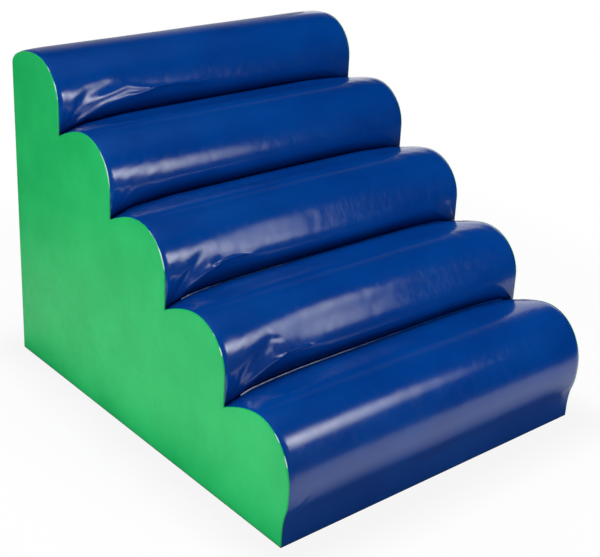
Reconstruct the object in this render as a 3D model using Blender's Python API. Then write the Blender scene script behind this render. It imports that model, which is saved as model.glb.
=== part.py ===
"""Soft play foam climber: five rounded foam steps under a sewn, wipe-clean cover.

Metres, +Z up, the low front towards -Y. The origin is at the middle of the bounding box, on the floor.
The foam is glued up from flat slabs with a contour-cut nosing in front of each. Over it goes a cover of
coated fabric: a blue panel on each step, green sides, a blue back that closes with a zip, and a dark base.
"""

import math

import bmesh
import bpy
from mathutils import Vector

for old in list(bpy.data.objects):
    bpy.data.objects.remove(old, do_unlink=True)

# Steps
width = 1.000
step_count = 5
going = 0.240
rise = 0.150
first_step_height = 0.300

# Wave form of a step, on the outside of the cover
valley_depth = 0.045
valley_slope_share = 0.60
nose_height = 0.120
first_nose_height = 0.142
first_setback = 0.018
first_tuck_height = 0.060
top_rear_round = 0.055
top_tail = 0.045

# How a nosing is cut under, above the valley in front of it, and how the cover folds in there
undercut = 0.022
undercut_height = 0.055
undercut_end_height = 0.008
undercut_bulge = 0.025
undercut_start_angle = 12.0
fold_reach = 0.300

# Glue lines between the slabs, below the valleys, and the ledge that a slab has in front of its nosing
glue_line_drop = 0.010
ledge = 0.010

# How the cover is drawn in at its side seams
seam_reach = 0.100
crown = 0.005
valley_lift = 0.016
side_crown = 0.0025
side_crown_width = 0.018

# Cover fabric and base sheet
cover_thickness = 0.0008
base_thickness = 0.0015
gap = 0.0003

# Folded seam down in each valley
welt_width = 0.006
welt_thickness = 0.0012
welt_end = 0.045
welt_stand_off = 0.0045

# Zip across the back
zip_height = 0.120
zip_end_margin = 0.060
tape_thickness = 0.0008
tape_half_gap = 0.0033
tape_width = 0.022
panel_edge_to_zip = 0.010
tooth_pitch = 0.0072
tooth_depth = 0.0030
tooth_reach = 0.0027
tooth_clearance = 0.0003
bead_width = 0.0015
stop_length = 0.0050
stop_depth = 0.0042

# Slider and its pull
slider_length = 0.020
slider_nose_half_width = 0.0085
slider_tail_half_width = 0.0066
slider_plate = 0.0015
slider_rim = 0.0016
slider_clearance = 0.0003
wedge_length = 0.0070
wedge_half_width = 0.0012
foam_clearance = 0.0006
pull_thickness = 0.0016
pull_length = 0.032
pull_width = 0.009
pull_neck_width = 0.0056
pull_arm = 0.0018
pull_window = 0.0042
pull_hole_radius = 0.0022
pin_clearance = 0.0005
bridge_half_width = 0.0012
bridge_thickness = 0.0012
cut_overrun = 0.002

# Numbers of straight facets
nose_facets = 7
rear_facets = 5
tuck_facets = 2
seam_facets = 5
fold_facets = 3
middle_facets = 2
pull_facets = 8

# Heights and depths that follow from the above
tail_seam_height = first_step_height + (step_count - 1) * rise - top_rear_round - top_tail
chain_depth = cover_thickness + gap + tape_thickness / 2
slider_half_depth = tooth_depth / 2 + slider_clearance + slider_plate
bridge_opening = pull_thickness * math.sqrt(2) + 2 * pin_clearance
slider_proud = slider_half_depth + bridge_opening + bridge_thickness - chain_depth
front_y = -(step_count * going + slider_proud) / 2
back_y = front_y + step_count * going
chain_y = back_y - chain_depth
foam_back_y = chain_y - slider_half_depth - foam_clearance
cover_half_width = width / 2 - side_crown - cover_thickness
inner_half_width = cover_half_width - gap
foam_inset = cover_thickness + gap
floor_gap = base_thickness + gap
zip_length = width - 2 * zip_end_margin


def make_material(name, colour, roughness):
    """A plain finish, with the colour and the gloss of one of the climber's materials."""
    finish = bpy.data.materials.new(name)
    finish.use_nodes = True
    shader = finish.node_tree.nodes["Principled BSDF"]
    shader.inputs["Base Color"].default_value = (*colour, 1.0)
    shader.inputs["Roughness"].default_value = roughness
    shader.inputs["Metallic"].default_value = 0.0
    return finish


blue_vinyl = make_material("blue_vinyl", (0.002, 0.030, 0.260), 0.32)
green_vinyl = make_material("green_vinyl", (0.035, 0.450, 0.140), 0.50)
base_sheet = make_material("base_sheet", (0.015, 0.015, 0.018), 0.80)
cream_foam = make_material("cream_foam", (0.720, 0.690, 0.600), 0.95)
zip_tape = make_material("zip_tape", (0.012, 0.014, 0.030), 0.90)
zip_plastic = make_material("zip_plastic", (0.020, 0.022, 0.040), 0.40)
slider_metal = make_material("slider_metal", (0.300, 0.300, 0.310), 0.35)


def add_object(name, bm, material, place=(0, 0, 0), carrier=None):
    """Turns a finished bmesh into a named object with one material, placed on its carrier if it has one."""
    bmesh.ops.recalc_face_normals(bm, faces=bm.faces)
    mesh = bpy.data.meshes.new(name)
    bm.to_mesh(mesh)
    bm.free()
    mesh.materials.append(material)
    made = bpy.data.objects.new(name, mesh)
    made.location = place
    made.parent = carrier
    bpy.context.collection.objects.link(made)
    return made


def add_loft(name, sections, material, turn=None):
    """A closed solid through a row of closed sections that all have the same number of points.

    A sheet's section comes back on itself, and turns at the point numbered turn. Its facets are split the
    same way on the way out and on the way back, so that sheets laid on each other keep their distance.
    """
    bm = bmesh.new()
    rings = [[bm.verts.new(point) for point in section] for section in sections]
    for ring, following in zip(rings, rings[1:]):
        for i in range(len(ring)):
            a, b = ring[i], ring[(i + 1) % len(ring)]
            c, d = following[(i + 1) % len(ring)], following[i]
            if turn is not None and i >= turn:
                a, b, c, d = b, c, d, a
            bm.faces.new((a, b, c))
            bm.faces.new((a, c, d))
    bm.faces.new(rings[0])
    bm.faces.new(rings[-1])
    made = add_object(name, bm, material)
    made.data.shade_smooth()
    made.data.set_sharp_from_angle(angle=math.radians(35))
    return made


def add_box(name, low, high, material):
    """A square block between two opposite corners."""
    bm = bmesh.new()
    bmesh.ops.create_cube(bm, size=1.0)
    for vert in bm.verts:
        vert.co = Vector(high[i] if vert.co[i] > 0 else low[i] for i in range(3))
    return add_object(name, bm, material)


def add_plate(name, outline, depth, material, place=(0, 0, 0), carrier=None):
    """A flat plate, its outline in X and Z, with its thickness centred on the plane y = 0."""
    bm = bmesh.new()
    ring = [bm.verts.new((x, -depth / 2, z)) for x, z in outline]
    face = bm.faces.new(ring)
    grown = bmesh.ops.extrude_face_region(bm, geom=[face])["geom"]
    moved = [item for item in grown if isinstance(item, bmesh.types.BMVert)]
    bmesh.ops.translate(bm, verts=moved, vec=(0, depth, 0))
    return add_object(name, bm, material, place, carrier)


def combine(target, tool, operation):
    """Joins another shape to an object, or cuts it away."""
    step = target.modifiers.new(tool.name, "BOOLEAN")
    step.operation = operation
    step.object = tool
    tool.hide_render = True
    tool.display_type = "WIRE"


def arc(centre, half_width, height, start, end, facets):
    """Points on an ellipse, angles in degrees, both ends included."""
    angles = [math.radians(start + (end - start) * i / facets) for i in range(facets + 1)]
    return [(centre[0] + half_width * math.cos(a), centre[1] + height * math.sin(a)) for a in angles]


def bend(start, control, end, facets):
    """Points on a curve that leaves start and reaches end, both pulled towards a control point."""
    points = []
    for i in range(facets + 1):
        t = i / facets
        points.append(
            tuple((1 - t) ** 2 * a + 2 * t * (1 - t) * b + t**2 * c for a, b, c in zip(start, control, end))
        )
    return points


def swell_at(x):
    """How far the cover has filled out at x: nothing at a side seam, all of it past the seam's reach."""
    inward = min(1.0, (inner_half_width - abs(x)) / seam_reach)
    return 1.0 - (1.0 - inward) ** 2


def fold_at(x):
    """How far the cover follows the undercut at x: not at all at a side seam, fully past the fold's reach."""
    inward = min(1.0, (inner_half_width - abs(x)) / fold_reach)
    return 1.0 - (1.0 - inward) ** 2


def crest_height(step, x):
    return first_step_height + (step - 1) * rise - crown * (1.0 - swell_at(x))


def valley_height(step, x):
    return first_step_height + (step - 1) * rise - valley_depth + valley_lift * swell_at(x)


def glue_line(step):
    return valley_height(step, inner_half_width) - glue_line_drop


def step_front(step):
    return front_y + (step - 1) * going


def valley_back(step, x):
    """Where the valley behind a step is deepest, from front to back."""
    return step_front(step + 1) + crown + undercut * fold_at(x)


def first_front(x):
    """The front of the lowest step, from its foot to where its nosing starts to round."""
    foot = (step_front(1) + first_setback + crown, floor_gap)
    tuck = (foot[0], first_tuck_height)
    nose = (step_front(1) + crown * (1.0 - swell_at(x)), first_step_height - first_nose_height)
    lean = (tuck[0] + nose[0]) / 2
    lower = bend(tuck, (tuck[0], (tuck[1] * 2 + nose[1]) / 3), (lean, (tuck[1] + nose[1]) / 2), 2)
    upper = bend(lower[-1], (nose[0], (tuck[1] + nose[1] * 2) / 3), nose, 2)
    return [foot] + lower + upper[1:]


def undercut_front(step, x, round_start):
    """The front of a step above a valley, out under the nosing to a ridge and up to where it starts to round."""
    foot = (valley_back(step - 1, x), valley_height(step - 1, x))
    ridge_rise = undercut_end_height + (undercut_height - undercut_end_height) * fold_at(x)
    ridge = (round_start[0], foot[1] + ridge_rise)
    return bend(foot, (ridge[0], foot[1] + ridge_rise / 2), ridge, tuck_facets) + [round_start]


def step_outline(step, x):
    """The outside of one step's cover at x, as (y, z) points from the foot of its nosing to its back edge."""
    crest = (step_front(step) + going / 2, crest_height(step, x))
    nose_y = step_front(step) + crown * (1.0 - swell_at(x))
    if step == 1:
        points = first_front(x)
        start_angle = 0.0
        round_height = crest[1] - points[-1][1]
        round_length = crest[0] - nose_y
    else:
        start_angle = undercut_start_angle * fold_at(x)
        level = first_step_height + (step - 1) * rise - nose_height
        round_height = crest[1] - level + undercut_bulge * fold_at(x)
        round_length = (crest[0] - nose_y) / math.cos(math.radians(start_angle))
        start_drop = round_height * (1.0 - math.sin(math.radians(start_angle)))
        points = undercut_front(step, x, (nose_y, crest[1] - start_drop))
    round_centre = (crest[0], crest[1] - round_height)
    points += arc(round_centre, round_length, round_height, 180 - start_angle, 90, nose_facets)[1:]
    if step == step_count:
        rear = (back_y, first_step_height + (step - 1) * rise - top_rear_round)
        points += arc((crest[0], rear[1]), rear[0] - crest[0], crest[1] - rear[1], 90, 0, nose_facets)[1:]
        points.append((back_y, tail_seam_height + gap))
    else:
        rear = (valley_back(step, x) - gap, valley_height(step, x))
        control = (rear[0] - valley_slope_share * (rear[0] - crest[0]), crest[1])
        points += bend(crest, control, rear, rear_facets)[1:]
    return points


def inset(points, distance):
    """The same line moved inwards, square to itself, which is to its right as it runs back and up."""
    moved = []
    for i, (y, z) in enumerate(points):
        before = points[max(i - 1, 0)]
        after = points[min(i + 1, len(points) - 1)]
        run = math.hypot(after[0] - before[0], after[1] - before[1])
        moved.append((y + distance * (after[1] - before[1]) / run, z - distance * (after[0] - before[0]) / run))
    return moved


def stations(half_width):
    """Places across the width, close together near the side seams and wider apart in the middle."""
    edge = [half_width - seam_reach * (i / seam_facets) ** 1.5 for i in range(seam_facets)]
    edge += [half_width - seam_reach - (fold_reach - seam_reach) * i / fold_facets for i in range(fold_facets)]
    flat = half_width - fold_reach
    middle = [flat - 2 * flat * i / middle_facets for i in range(middle_facets + 1)]
    return [-x for x in edge] + [-x for x in middle] + edge[::-1]


def at_x(x, outline):
    return [Vector((x, y, z)) for y, z in outline]


# The slabs are firm foam, sawn flat, one behind each nosing but the top one, stacked and glued.
# Each runs from the back of its nosing to the back of the cover.
for step in range(1, step_count):
    slab_low = floor_gap if step == 1 else glue_line(step - 1) + gap
    add_box(
        f"foam_slab_{step}",
        (-inner_half_width, valley_back(step, 0.0) + ledge + gap, slab_low),
        (inner_half_width, foam_back_y, glue_line(step)),
        cream_foam,
    )

# A nosing is softer foam, cut to the wave on a contour saw and glued in front of its slab.
# It fills the cover, so it has the cover's crown and draws in at the side seams with it.
# Behind its wave a low ledge, as deep as the undercut of the nosing above, carries that nosing.
for step in range(1, step_count + 1):
    nosing_low = floor_gap if step == 1 else glue_line(step - 1) + gap
    nosing_back = foam_back_y if step == step_count else valley_back(step, 0.0) + ledge
    nosing_sections = []
    for x in stations(inner_half_width):
        skin = [(min(y, nosing_back), z) for y, z in inset(step_outline(step, x), foam_inset)]
        low_front = [(skin[0][0], nosing_low)] if step > 1 else []
        behind = [(nosing_back, nosing_low)]
        if step < step_count:
            behind = [(skin[-1][0], glue_line(step)), (nosing_back, glue_line(step))] + behind
        nosing_sections.append(at_x(x, low_front + skin + behind))
    add_loft(f"foam_nosing_{step}", nosing_sections, cream_foam)

# The step panels are blue coated fabric, drawn tight over the nosings from valley to valley.
# The lowest runs down to the base, and the top one wraps over and a little way down the back.
for step in range(1, step_count + 1):
    panel_sections = []
    for x in stations(inner_half_width):
        outside = step_outline(step, x)
        inside = inset(outside, cover_thickness)
        panel_sections.append(at_x(x, outside + inside[::-1]))
    add_loft(f"step_panel_{step}", panel_sections, blue_vinyl, turn=len(outside))

# Down in each valley the edges of two panels are sewn together, and the folded seam lies forward as a thin lip.
# It stops short of the side seams, where the valley drops away.
for step in range(1, step_count):
    welt_sections = []
    for x in stations(inner_half_width - welt_end):
        end_of_slope, root = [Vector(p) for p in step_outline(step, x)[-2:]]
        along = (end_of_slope - root).normalized()
        away = Vector((along.y, -along.x))
        near = root + along * welt_stand_off + away * gap
        tip = near + along * welt_width
        lip = [near, tip, tip + away * welt_thickness, near + away * welt_thickness]
        welt_sections.append([Vector((x, p.x, p.y)) for p in lip])
    add_loft(f"valley_welt_{step}", welt_sections, blue_vinyl)


def side_outline():
    """The outline that the cover has at its side seams, all the way round."""
    points = []
    for step in range(1, step_count + 1):
        points += step_outline(step, inner_half_width)[:-1]
    return points + [(back_y, floor_gap)]


# The side panels are green coated fabric cut to the wave, over a thin layer of wadding.
# Each is held in along its seam all round and stands out a little inside that line.
for name, side in (("side_panel_left", -1), ("side_panel_right", 1)):
    bm = bmesh.new()
    sewn_edge = bm.faces.new([bm.verts.new((side * cover_half_width, y, z)) for y, z in side_outline()])
    grown = bmesh.ops.extrude_face_region(bm, geom=[sewn_edge])["geom"]
    moved = [item for item in grown if isinstance(item, bmesh.types.BMVert)]
    bmesh.ops.translate(bm, verts=moved, vec=(side * cover_thickness, 0, 0))
    outer = max(bm.faces, key=lambda face: side * face.calc_center_median().x)
    bmesh.ops.recalc_face_normals(bm, faces=bm.faces)
    bmesh.ops.inset_region(
        bm, faces=[outer], thickness=side_crown_width, depth=side_crown, use_boundary=True, use_even_offset=True
    )
    add_object(name, bm, green_vinyl)

# The base is a dark non-slip sheet that the cover stands on.
base_half_width = cover_half_width + cover_thickness
add_box(
    "base_panel",
    (-base_half_width, step_front(1) + first_setback + crown, 0.0),
    (base_half_width, back_y, base_thickness),
    base_sheet,
)

# The back of the cover is two flat panels, with the zip in the slot between them.
for name, panel_low, panel_high in (
    ("back_panel_lower", floor_gap, zip_height - panel_edge_to_zip),
    ("back_panel_upper", zip_height + panel_edge_to_zip, tail_seam_height),
):
    add_box(
        name,
        (-inner_half_width, back_y - cover_thickness, panel_low),
        (inner_half_width, back_y, panel_high),
        blue_vinyl,
    )

# The zip's two tapes are sewn behind the edges of the back panels.
for name, side in (("zip_tape_upper", 1), ("zip_tape_lower", -1)):
    tape_edges = sorted(zip_height + side * reach for reach in (tape_half_gap, tape_half_gap + tape_width))
    add_box(
        name,
        (-zip_length / 2, chain_y - tape_thickness / 2, tape_edges[0]),
        (zip_length / 2, chain_y + tape_thickness / 2, tape_edges[1]),
        zip_tape,
    )

# Each row of moulded teeth stands on a bead along its tape's edge, and the two rows mesh half a pitch apart.
# The rows begin past the slider's wedge, where it parks, and end at the lower stop.
slider_park = -zip_length / 2 + stop_length + 2 * gap
teeth_start = slider_park + wedge_length + gap
teeth_count = math.floor((zip_length / 2 - stop_length - 2 * gap - teeth_start) / tooth_pitch - 0.5)
bead_edge = tape_half_gap - gap


def tooth_row(side, shift):
    """The outline of one row, in x and in z from the zip's middle line."""
    root = bead_edge - bead_width
    tooth_half = tooth_pitch / 4 - tooth_clearance / 2
    row_length = (teeth_count + 0.5) * tooth_pitch
    points = [(0.0, side * root), (0.0, side * bead_edge)]
    points += [(row_length, side * bead_edge), (row_length, side * root)]
    for i in reversed(range(teeth_count)):
        middle = (i + 0.25 + shift) * tooth_pitch
        points += [(middle + tooth_half, side * root), (middle + tooth_half, side * (root - tooth_reach))]
        points += [(middle - tooth_half, side * (root - tooth_reach)), (middle - tooth_half, side * root)]
    return points


for name, side, shift in (("zip_teeth_upper", 1, 0.0), ("zip_teeth_lower", -1, 0.5)):
    add_plate(name, tooth_row(side, shift), tooth_depth, zip_plastic, (teeth_start, chain_y, zip_height))

# Small moulded stops close both ends: one on each tape where the slider parks, one across both at the far end.
for name, stop_x, stop_low, stop_high in (
    ("zip_stop_upper", -zip_length / 2, bead_edge - bead_width, bead_edge),
    ("zip_stop_lower", -zip_length / 2, -bead_edge, bead_width - bead_edge),
    ("zip_stop_end", zip_length / 2 - stop_length, -bead_edge, bead_edge),
):
    add_box(
        name,
        (stop_x, chain_y - stop_depth / 2, zip_height + stop_low),
        (stop_x + stop_length, chain_y + stop_depth / 2, zip_height + stop_high),
        zip_plastic,
    )

# The slider is a Y-shaped channel in a metal body: two throats round a wedge, one way out at the tail.
# Its origin is at its nose, on the chain's middle line.
nose_round = slider_nose_half_width / 3
slider_body = [
    (0.0, -slider_nose_half_width + nose_round),
    (nose_round, -slider_nose_half_width),
    (wedge_length, -slider_nose_half_width),
    (slider_length - nose_round, -slider_tail_half_width),
    (slider_length, -slider_tail_half_width + nose_round),
]
slider_body += [(x, -z) for x, z in reversed(slider_body)]
slider_place = (slider_park, chain_y, zip_height)
slider = add_plate("zip_slider", slider_body, 2 * slider_half_depth, slider_metal, slider_place)

throat = slider_nose_half_width - slider_rim
way_out = slider_tail_half_width - slider_rim
channel = [
    (-cut_overrun, throat),
    (wedge_length, throat),
    (slider_length, way_out),
    (slider_length + cut_overrun, way_out),
]
channel += [(x, -z) for x, z in reversed(channel)]
channel += [(-cut_overrun, -wedge_half_width), (wedge_length / 2, -wedge_half_width), (wedge_length, 0.0)]
channel += [(wedge_length / 2, wedge_half_width), (-cut_overrun, wedge_half_width)]
channel_depth = tooth_depth + 2 * slider_clearance
channel_cutter = add_plate("channel_cutter", channel, channel_depth, slider_metal, carrier=slider)
combine(slider, channel_cutter, "DIFFERENCE")

slot_half_width = slider_nose_half_width + cut_overrun
slot = [(-cut_overrun, slot_half_width), (slider_length + cut_overrun, slot_half_width)]
slot += [(x, -z) for x, z in reversed(slot)]
slot += channel[-5:]
slot_cutter = add_plate("slot_cutter", slot, tape_thickness + 2 * gap, slider_metal, carrier=slider)
combine(slider, slot_cutter, "DIFFERENCE")

# A bridge on the slider's face holds the pull by its cross bar.
pin_half = pull_thickness / 2
pin_reach = pin_half * math.sqrt(2) + pin_clearance
pin_x = slider_length / 2
pin_y = slider_half_depth + pin_reach
bridge_outer = pin_reach + bridge_thickness
bm = bmesh.new()
bridge_line = [
    (-bridge_outer, slider_half_depth - slider_plate / 2),
    (-bridge_outer, pin_y + pin_reach),
    (-pin_reach, pin_y + bridge_outer),
    (pin_reach, pin_y + bridge_outer),
    (bridge_outer, pin_y + pin_reach),
    (bridge_outer, slider_half_depth - slider_plate / 2),
    (pin_reach, slider_half_depth - slider_plate / 2),
    (pin_reach, pin_y + pin_reach),
    (-pin_reach, pin_y + pin_reach),
    (-pin_reach, slider_half_depth - slider_plate / 2),
]
bridge_face = bm.faces.new([bm.verts.new((pin_x + x, y, -bridge_half_width)) for x, y in bridge_line])
grown = bmesh.ops.extrude_face_region(bm, geom=[bridge_face])["geom"]
moved = [item for item in grown if isinstance(item, bmesh.types.BMVert)]
bmesh.ops.translate(bm, verts=moved, vec=(0, 0, 2 * bridge_half_width))
bridge = add_object("bridge", bm, slider_metal, carrier=slider)
combine(slider, bridge, "UNION")

# The pull is a flat tab with a window at one end: the bar across the window is its pivot in the bridge.
# Its origin is on the pivot, and it lies along the teeth behind the slider.
window_half = bridge_half_width + pin_clearance
pull_root_half = window_half + pull_arm
pull_tip_round = pull_width / 2
pull_outline = [
    (-pin_half, pull_root_half),
    (-pin_half, -pull_root_half),
    (pin_half + pull_window, -pull_root_half),
    (pin_half + pull_window + pull_arm, -pull_neck_width / 2),
]
pull_outline += arc(
    (pull_length - pull_tip_round, 0.0), pull_tip_round, pull_tip_round, -90, 90, pull_facets
)
pull_outline += [
    (pin_half + pull_window + pull_arm, pull_neck_width / 2),
    (pin_half + pull_window, pull_root_half),
]
pull = add_plate("zip_pull", pull_outline, pull_thickness, slider_metal, (pin_x, pin_y, 0), slider)
window = [(pin_half, -window_half), (pin_half + pull_window, -window_half)]
window += [(x, -z) for x, z in reversed(window)]
window_cutter = add_plate("window_cutter", window, pull_thickness + cut_overrun, slider_metal, carrier=pull)
combine(pull, window_cutter, "DIFFERENCE")
hole = arc((pull_length - pull_tip_round, 0.0), pull_hole_radius, pull_hole_radius, 0, 360, pull_facets)[:-1]
hole_cutter = add_plate("hole_cutter", hole, pull_thickness + cut_overrun, slider_metal, carrier=pull)
combine(pull, hole_cutter, "DIFFERENCE")
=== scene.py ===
"""Soft play step climber: a wave of five foam steps in a sewn vinyl cover, royal blue with green sides."""

import math

import bmesh
import bpy
import numpy as np
from mathutils import Matrix, Vector, noise
from mathutils.geometry import delaunay_2d_cdt


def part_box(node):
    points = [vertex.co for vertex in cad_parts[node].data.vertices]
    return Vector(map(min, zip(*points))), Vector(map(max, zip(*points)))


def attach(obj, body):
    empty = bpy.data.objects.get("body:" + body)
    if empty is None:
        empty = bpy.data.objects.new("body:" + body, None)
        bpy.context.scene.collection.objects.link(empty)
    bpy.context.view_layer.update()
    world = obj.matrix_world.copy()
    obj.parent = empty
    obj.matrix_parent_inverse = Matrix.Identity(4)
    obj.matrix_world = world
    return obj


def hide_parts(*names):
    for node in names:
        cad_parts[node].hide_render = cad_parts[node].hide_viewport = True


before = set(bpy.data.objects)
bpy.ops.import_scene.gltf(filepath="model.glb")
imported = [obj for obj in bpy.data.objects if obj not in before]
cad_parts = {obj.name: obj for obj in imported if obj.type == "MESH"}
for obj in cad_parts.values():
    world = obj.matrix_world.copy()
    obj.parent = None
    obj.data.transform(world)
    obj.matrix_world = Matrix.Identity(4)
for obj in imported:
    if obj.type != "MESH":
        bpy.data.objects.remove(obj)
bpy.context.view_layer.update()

# Blue step panels
# Five long panels of coated polyester, drawn over the foam nosings and sewn to each other down in the
# valleys. Each is held at both ends by the side seams, and its cloth pulls in folds from the valley ends.
mm = 0.001
steps = range(1, 6)
panel_box = {step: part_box(f"step_panel_{step}") for step in steps}
half_width = panel_box[1][1][0]
going = panel_box[2][0][1] - panel_box[1][0][1]
rise = panel_box[2][1][2] - panel_box[1][1][2]
first_front_y = panel_box[1][0][1]
first_crest_z = panel_box[1][1][2]
foot_z = panel_box[1][0][2]
back_y = panel_box[5][1][1]
tail_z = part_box("back_panel_upper")[1][2]

cover_thickness = 0.8 * mm
crown = 5 * mm
crown_reach = 100 * mm
edge_roll_reach = 16 * mm
valley_depth = 45 * mm
valley_lift = 16 * mm
valley_slope_share = 0.60
nose_drop = 120 * mm
undercut = 22 * mm
undercut_height = 55 * mm
undercut_end_height = 8 * mm
undercut_bulge = 25 * mm
undercut_start_angle = math.radians(12)
fold_reach = 300 * mm
first_nose_drop = 142 * mm
first_setback = 18 * mm
first_tuck_z = 22 * mm
top_rear_round = 55 * mm
ridge_rounding = 5 * mm


def near_seam(x, reach):
    """1 at a side seam, 0 from its reach onwards."""
    return 1 - min(1.0, (half_width - abs(x)) / reach)


def drawn_in(x):
    """How far the side seam draws the cover in at x, as a share of the crown."""
    return (near_seam(x, crown_reach) ** 3 + near_seam(x, edge_roll_reach) ** 2) / 2


def folded_under(x):
    """The share of the undercut that the cover follows at x: none at a side seam."""
    return 1 - near_seam(x, fold_reach) ** 2


# step: (side, distance from that seam, height, width) of the places where a pull lifts the fold line
fold_lifts = {
    2: ((-1, 205 * mm, 34 * mm, 90 * mm),),
    3: ((-1, 190 * mm, 38 * mm, 85 * mm), (1, 120 * mm, 24 * mm, 70 * mm)),
    5: ((-1, 330 * mm, 30 * mm, 130 * mm), (1, 130 * mm, 14 * mm, 60 * mm)),
}


def fold_line_height(step, x, pulled=True):
    """How far up from the valley the front's face starts to turn under."""
    height = undercut_end_height + (undercut_height - undercut_end_height) * folded_under(x)
    for side, place, lift, width in fold_lifts.get(step, ()) if pulled else ():
        height += lift * math.exp(-(((half_width - side * x - place) / width) ** 2))
    return height


def valley_point(step, x):
    """(y, z) of the bottom of the valley behind a step."""
    y = first_front_y + step * going + crown + undercut * folded_under(x)
    lift = valley_lift * (1 - near_seam(x, crown_reach) ** 2)
    return y, first_crest_z + (step - 1) * rise - valley_depth + lift


def curve(start, pull, end, count=16):
    """Points from start to end on a curve that leaves and arrives pointing at pull."""
    t = np.linspace(0, 1, count)[:, None]
    return (1 - t) ** 2 * np.array(start) + 2 * t * (1 - t) * np.array(pull) + t**2 * np.array(end)


def round_over(centre, length, height, start, end, count=32):
    """Points between two angles round an ellipse of this half length and height."""
    angles = np.linspace(start, end, count)
    return np.stack([centre[0] + length * np.cos(angles), centre[1] + height * np.sin(angles)], 1)


def panel_line(step, x, pulled=True):
    """A step panel's outside at x, as (y, z) points from its front edge over the step to its back."""
    front_y = first_front_y + (step - 1) * going
    top_z = first_crest_z + (step - 1) * rise
    crest = (front_y + going / 2, top_z - crown * drawn_in(x))
    nose_y = front_y + crown * drawn_in(x)
    if step == 1:
        foot = (front_y + first_setback + crown, foot_z)
        tuck = (foot[0], first_tuck_z)
        nose = (nose_y, first_crest_z - first_nose_drop)
        lean = ((tuck[0] + nose[0]) / 2, (tuck[1] + nose[1]) / 2)
        reach = (nose[1] - tuck[1]) / 3
        parts = [curve(foot, foot, tuck), curve(tuck, (tuck[0], tuck[1] + reach), lean)]
        parts.append(curve(lean, (nose[0], nose[1] - reach), nose))
        start_angle = 0.0
        height = crest[1] - nose[1]
    else:
        foot = valley_point(step - 1, x)
        fold = folded_under(x)
        ridge = (nose_y, foot[1] + fold_line_height(step, x, pulled))
        start_angle = undercut_start_angle * fold
        height = crest[1] - (top_z - nose_drop) + undercut_bulge * fold
        start = (nose_y, crest[1] - height * (1 - math.sin(start_angle)))
        parts = [curve(foot, (nose_y, (foot[1] + ridge[1]) / 2), ridge), curve(ridge, ridge, start, 8)]
    length = (crest[0] - nose_y) / math.cos(start_angle)
    centre = (crest[0], crest[1] - height)
    parts.append(round_over(centre, length, height, math.pi - start_angle, math.pi / 2))
    if step == 5:
        rear_z = top_z - top_rear_round
        parts.append(round_over((crest[0], rear_z), back_y - crest[0], crest[1] - rear_z, math.pi / 2, 0))
        parts.append(curve((back_y, rear_z), (back_y, rear_z), (back_y, tail_z)))
    else:
        rear = valley_point(step, x)
        control = (rear[0] - valley_slope_share * (rear[0] - crest[0]), crest[1])
        parts.append(curve(crest, control, rear, 32))
    return np.concatenate(parts)


def resample(line, places, rounding=ridge_rounding):
    """The line's points at these shares of its length, its corners rounded and its ends kept."""
    runs = np.linalg.norm(np.diff(line, axis=0), axis=1)
    keep = np.concatenate([[True], runs > 1e-7])
    line = line[keep]
    along = np.concatenate([[0], np.cumsum(np.linalg.norm(np.diff(line, axis=0), axis=1))])
    spacing = 1 * mm
    count = int(along[-1] / spacing)
    even = np.linspace(0, along[-1], count)
    fine = np.stack([np.interp(even, along, line[:, axis]) for axis in (0, 1)], 1)
    margin = int(4 * rounding / spacing)
    ahead = 2 * fine[0] - fine[margin:0:-1]
    behind = 2 * fine[-1] - fine[-2 : -margin - 2 : -1]
    padded = np.concatenate([ahead, fine, behind])
    reach = np.arange(-margin, margin + 1) * spacing
    weights = np.exp(-(reach**2) / (2 * rounding**2))
    weights /= weights.sum()
    smooth = np.stack([np.convolve(padded[:, axis], weights, "valid") for axis in (0, 1)], 1)
    wanted = places * (count - 1)
    points = np.stack([np.interp(wanted, np.arange(count), smooth[:, axis]) for axis in (0, 1)], 1)
    return points, along[-1]


def spread(limits, spacings):
    """Places from 0 to the last limit, evenly spaced between limits."""
    places = [0.0]
    for limit, spacing in zip(limits, spacings):
        count = max(1, round((limit - places[-1]) / spacing))
        places += list(np.linspace(places[-1], limit, count + 1)[1:])
    return np.array(places)


# The mesh is finest by the side seams, where the cloth puckers, and next to the valleys.
from_seam = spread((24 * mm, 360 * mm, half_width), (3 * mm, 4.5 * mm, 8 * mm))
across = np.concatenate([-half_width + from_seam, (half_width - from_seam)[-2::-1]])
along_places = spread((200 * mm, 430 * mm), (4.5 * mm, 7.5 * mm))
along_places = along_places / along_places[-1]


def surface_normals(grid):
    """Outward unit normals of a grid of points."""
    along_x = np.gradient(grid, axis=0)
    along_s = np.gradient(grid, axis=1)
    normal = np.cross(along_x, along_s)
    return normal / np.linalg.norm(normal, axis=2, keepdims=True)


def smooth_noise(points, size, seed):
    """Slow random waves from -1 to 1, about as long as size."""
    offset = Vector((seed * 7.3, seed * 3.1, seed * 5.7))
    flat = points.reshape(-1, 3)
    values = [noise.noise(Vector(p) / size + offset) for p in flat]
    return np.array(values).reshape(points.shape[:-1])


def add_mesh(name, points, faces, material):
    mesh = bpy.data.meshes.new(name)
    mesh.from_pydata([tuple(p) for p in points], [], [tuple(f) for f in faces])
    mesh.validate()
    mesh.materials.append(material)
    mesh.shade_smooth()
    made = bpy.data.objects.new(name, mesh)
    bpy.context.collection.objects.link(made)
    return made


def grid_faces(index):
    """The four corners of every square of a numbered grid."""
    return np.stack([index[:-1, :-1], index[1:, :-1], index[1:, 1:], index[:-1, 1:]], -1).reshape(-1, 4)


sharp_edge = math.radians(50)


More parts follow.
